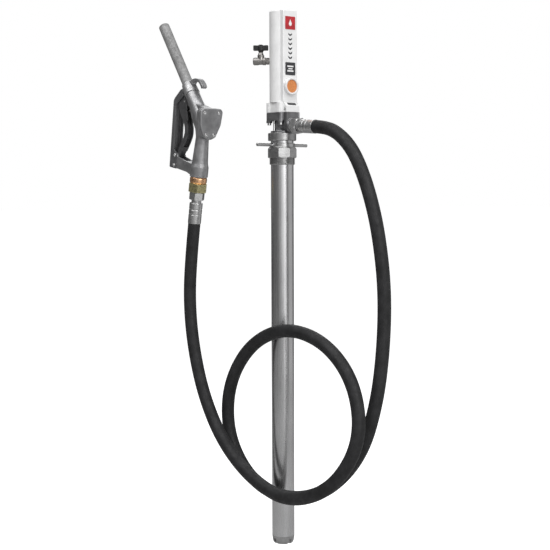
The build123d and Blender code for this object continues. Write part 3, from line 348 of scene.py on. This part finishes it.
# Each material slot's recipe, colour and settings
LOOKS = {
    "adapter_metal": (turned_metal, grey(0.44), {"roughness": 0.33}),
    "clamp_metal": (turned_metal, grey(0.52), {"roughness": 0.27}),
    "collar_metal": (turned_metal, grey(0.42), {"roughness": 0.33}),
    "tube_steel": (polished_tube, grey(0.60, 1.01), {}),
    "foot_steel": (turned_metal, grey(0.48), {"roughness": 0.34}),
    "valve_steel": (turned_metal, grey(0.5), {}),
    "rod_chrome": (plated_metal, grey(0.7), {"roughness": 0.16}),
    "screw_steel": (plated_metal, grey(0.75), {"roughness": 0.28}),
    "fitting_steel": (plated_metal, grey(0.56), {"roughness": 0.34}),
    "nickel_brass": (plated_metal, (0.30, 0.29, 0.28), {"roughness": 0.33}),
    "nut_passivated": (plated_metal, (0.66, 0.6, 0.33), {"roughness": 0.3}),
    "ring_copper": (plated_metal, (0.86, 0.5, 0.28), {"roughness": 0.28}),
    "piston_aluminium": (turned_metal, grey(0.6), {}),
    "housing_casting": (cast_metal, grey(0.22, 1.03), {"roughness": 0.36}),
    "nozzle_cast": (cast_metal, grey(0.37, 1.02), {"roughness": 0.43}),
    "bushing_metal": (cast_metal, grey(0.42, 1.01), {"roughness": 0.42}),
    "spout_metal": (cast_metal, grey(0.36), {"roughness": 0.78, "grain": 0.00018}),
    "guard_metal": (cast_metal, grey(0.21, 1.03), {"roughness": 0.52}),
    "lever_metal": (cast_metal, grey(0.15, 1.03), {"roughness": 0.5}),
    "motor_white": (powder_coat, grey(0.82), {}),
    "cap_white": (powder_coat, grey(0.82), {}),
    "boss_white": (powder_coat, grey(0.8), {}),
    "label_dark": (moulded, grey(0.05, 1.05), {}),
    "plate_dark": (moulded, grey(0.035, 1.1), {}),
    "plate_red": (moulded, (0.46, 0.02, 0.03), {"roughness": 0.36}),
    "handle_black": (moulded, grey(0.009), {"roughness": 0.5}),
    "sintered_bronze": (sintered, (0.98, 0.37, 0.13), {}),
    "seal_rubber": (rubber, grey(0.02), {}),
    "seal_plastic": (moulded, (0.8, 0.79, 0.74), {}),
    "hose_rubber": (hose_cover, grey(0.017, 1.06), {}),
}
materials = {
    slot: recipe(slot, colour, **settings) for slot, (recipe, colour, settings) in LOOKS.items()
}


def dress(piece, slot):
    """Give a piece one material, the one of that slot."""
    piece.data.materials.clear()
    piece.data.materials.append(materials[slot])


for node_name, node in nodes.items():
    dress(node, slot_of_node[node_name])
dress(hose, "hose_rubber")

# ---------------------------------------------------------------- cast and coated shapes
SMOOTHING = 0.5
# Each cast or coated node's voxel size and rounds of smoothing
CAST_NODES = {
    "nozzle_body": (0.0008, 5), "nozzle_cover": (0.0006, 3), "trigger_lever": (0.0006, 4),
    "trigger_guard": (0.0006, 3), "hanging_hook": (0.0005, 4), "outlet_housing": (0.0007, 3),
    "motor_base": (0.0006, 3), "air_valve_handle": (0.0004, 5),
}


def softened(node_name, voxel, rounds):
    """A copy of a CAD node with its edges rounded as a casting's are, which stands for it."""
    piece = new_object(node_name + "_cast", nodes[node_name].data.copy())
    remesh = piece.modifiers.new("remesh", "REMESH")
    remesh.mode = "VOXEL"
    remesh.voxel_size = voxel
    smooth = piece.modifiers.new("smooth", "SMOOTH")
    smooth.factor = SMOOTHING
    smooth.iterations = rounds
    evaluated = piece.evaluated_get(bpy.context.evaluated_depsgraph_get())
    shaped = bpy.data.meshes.new_from_object(evaluated)
    piece.modifiers.clear()
    piece.data = shaped
    shaped.shade_smooth()
    dress(piece, slot_of_node[node_name])
    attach(piece, body_of_node[node_name])
    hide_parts(node_name)


for cast_node, (voxel_size, smoothing_rounds) in CAST_NODES.items():
    softened(cast_node, voxel_size, smoothing_rounds)

# ---------------------------------------------------------------- printed marks on the motor
PRINTS = {
    "white": printed("print_white", (0.85, 0.85, 0.85)),
    "dark": printed("print_dark", (0.03, 0.03, 0.035)),
}
PRINT_THICKNESS = 0.00012
DROP_BELOW_MIDDLE = 0.002
DROP_STEPS = 24
DROP_START, DROP_SWEEP = -225, 270      # degrees of its round part
CHEVRON_COUNT = 6
CHEVRON_SPACING = 0.0105
CHEVRONS_BELOW_PLATE = 0.008
# Each bar's height over the plate's middle, half its width and half its height
BARS = [(0.0055, 0.009, 0.0016), (0.0, 0.0062, 0.0012), (-0.005, 0.009, 0.0016)]


def printed_mark(name, shapes, front, colour):
    """Flat shapes on the motor's front, each a list of (across, height) points, as one piece."""
    mesh = bpy.data.meshes.new(name)
    vertices, faces = [], []
    for shape in shapes:
        start, count = len(vertices), len(shape)
        vertices += [(x, front, z) for x, z in shape]
        vertices += [(x, front - PRINT_THICKNESS, z) for x, z in shape]
        faces.append(tuple(range(start, start + count)))
        faces.append(tuple(range(start + 2 * count - 1, start + count - 1, -1)))
        for i in range(count):
            j = (i + 1) % count
            faces.append((start + j, start + i, start + count + i, start + count + j))
    mesh.from_pydata(vertices, [], faces)
    piece = new_object(name, mesh)
    mesh.materials.append(PRINTS[colour])
    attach(piece, "pump")


def drop_shape(centre_height, radius, tip):
    """A drop of oil: most of a circle, drawn up to a point."""
    points = []
    for step in range(DROP_STEPS + 1):
        angle = math.radians(DROP_START + DROP_SWEEP * step / DROP_STEPS)
        points.append((radius * math.cos(angle), centre_height + radius * math.sin(angle)))
    return points + [(0.0, centre_height + tip)]


def chevron(top, half_width, thickness, drop):
    """A mark that points down by the drop."""
    return [
        (-half_width, top), (0, top - drop), (half_width, top), (half_width, top - thickness),
        (0, top - thickness - drop), (-half_width, top - thickness),
    ]


def bar(centre_height, half_width, half_height):
    low, high = centre_height - half_height, centre_height + half_height
    return [(-half_width, low), (half_width, low), (half_width, high), (-half_width, high)]


red_plate_low, red_plate_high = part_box("upper_plate")
dark_plate_low, dark_plate_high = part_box("middle_plate")
motor_front, plate_front = dark_plate_high.y, dark_plate_low.y
red_middle = (red_plate_low.z + red_plate_high.z) / 2
dark_middle = (dark_plate_low.z + dark_plate_high.z) / 2
oil_drop = drop_shape(red_middle - DROP_BELOW_MIDDLE, radius=0.0045, tip=0.0105)
printed_mark("mark_drop", [oil_drop], plate_front, "white")
chevron_tops = [
    red_plate_low.z - CHEVRONS_BELOW_PLATE - CHEVRON_SPACING * step
    for step in range(CHEVRON_COUNT)
]
chevrons = [
    chevron(top, half_width=0.0055, thickness=0.0038, drop=0.0035) for top in chevron_tops
]
printed_mark("mark_chevrons", chevrons, motor_front, "dark")
bars = [bar(dark_middle + over, *half_sides) for over, *half_sides in BARS]
printed_mark("mark_bars", bars, plate_front, "white")

# ---------------------------------------------------------------- studio
FLOOR_HEIGHT = -0.96
FLOOR_HALF = 60.0
FLOOR_GREY = (0.52, 0.52, 0.52)
FLOOR_GLOW = 0.97
WHITE = (1, 1, 1, 1)
BACKDROP = 1.0
REFLECTED_WORLD = 0.16      # what the metal sees where no soft box stands
POWER_PER_RADIANCE = 4      # watts for each square metre of a soft box


def camera_only(tree, to_camera, to_others):
    """Mix two shaders: the camera sees the first, and everything else sees the second."""
    path = tree.nodes.new("ShaderNodeLightPath")
    mix = tree.nodes.new("ShaderNodeMixShader")
    tree.links.new(path.outputs["Is Camera Ray"], mix.inputs["Fac"])
    tree.links.new(to_others, mix.inputs[1])
    tree.links.new(to_camera, mix.inputs[2])
    return mix.outputs["Shader"]


def make_floor():
    """Plain pale paper, as bright as the backdrop, with a grey that the metal reflects."""
    mesh = bpy.data.meshes.new("floor")
    half = FLOOR_HALF
    corners = [(-half, -half), (half, -half), (half, half), (-half, half)]
    mesh.from_pydata([(x, y, FLOOR_HEIGHT) for x, y in corners], [], [(0, 1, 2, 3)])
    floor = new_object("floor", mesh)
    shader = Shader("floor_paper", FLOOR_GREY, roughness=0.8)
    shader.tint(shader.noise(3, detail=2), low=0.99, high=1.01)
    glow = shader.add("ShaderNodeEmission")
    glow.inputs["Strength"].default_value = FLOOR_GLOW
    lit = shader.add("ShaderNodeAddShader")
    shader.link(glow.outputs["Emission"], lit.inputs[0])
    shader.link(shader.bsdf.outputs["BSDF"], lit.inputs[1])
    seen = camera_only(shader.tree, lit.outputs["Shader"], shader.bsdf.outputs["BSDF"])
    shader.link(seen, shader.tree.nodes["Material Output"].inputs["Surface"])
    mesh.materials.append(shader.material)


def soft_box(name, azimuth, distance, height, size, radiance, aim_height):
    """A rectangular light, azimuth degrees to the right of the camera as seen from the pump."""
    data = bpy.data.lights.new(name, "AREA")
    data.shape = "RECTANGLE"
    data.size, data.size_y = size
    data.energy = radiance * POWER_PER_RADIANCE * size[0] * size[1]
    light = new_object(name, data)
    turn = math.radians(azimuth)
    level = (right * math.sin(turn) - ahead * math.cos(turn)) * distance
    place = level + Vector((0, 0, height))
    towards_pump = Vector((0, 0, aim_height)) - place
    rotation = towards_pump.to_track_quat("-Z", "Y").to_matrix().to_4x4()
    light.matrix_world = Matrix.Translation(place) @ rotation


def make_world():
    """White behind the object, and a dim grey that the metal reflects."""
    world = bpy.data.worlds.new("studio")
    world.use_nodes = True
    tree = world.node_tree
    backdrop = tree.nodes["Background"]
    dim = tree.nodes.new("ShaderNodeBackground")
    for background, strength in ((backdrop, BACKDROP), (dim, REFLECTED_WORLD)):
        background.inputs["Color"].default_value = WHITE
        background.inputs["Strength"].default_value = strength
    seen = camera_only(tree, backdrop.outputs["Background"], dim.outputs["Background"])
    tree.links.new(seen, tree.nodes["World Output"].inputs["Surface"])
    bpy.context.scene.world = world


make_floor()
make_world()
# name, azimuth, distance, height, (width, height), radiance, height aimed at
SOFT_BOXES = [
    ("key", 28, 2.6, 0.95, (1.4, 1.4), 3.1, 0.95),
    ("key_low", 29, 2.6, -0.05, (1.5, 0.6), 0.9, -0.05),
    ("key_foot", 27, 2.6, -0.62, (1.3, 0.5), 0.9, -0.62),
    ("fill_near", 1, 2.6, 0.6, (1.1, 2.4), 0.6, 0.6),
    ("fill_far", -24, 2.6, 0.6, (1.2, 2.4), 0.22, 0.6),
    ("side", 92, 2.4, 0.2, (2.6, 2.2), 0.34, 0.2),
    ("high_left", -50, 2.2, 2.4, (2.4, 2.0), 2.6, 0.1),
    ("high_right", 45, 2.0, 2.6, (1.6, 1.4), 3.0, 0.2),
    ("top", 10, 0.8, 3.2, (2.0, 2.0), 2.0, 0.0),
    ("back", 180, 2.8, 1.6, (2.2, 1.4), 1.6, 0.0),
]
for box in SOFT_BOXES:
    soft_box(*box)
bpy.context.scene.view_settings.view_transform = "Standard"
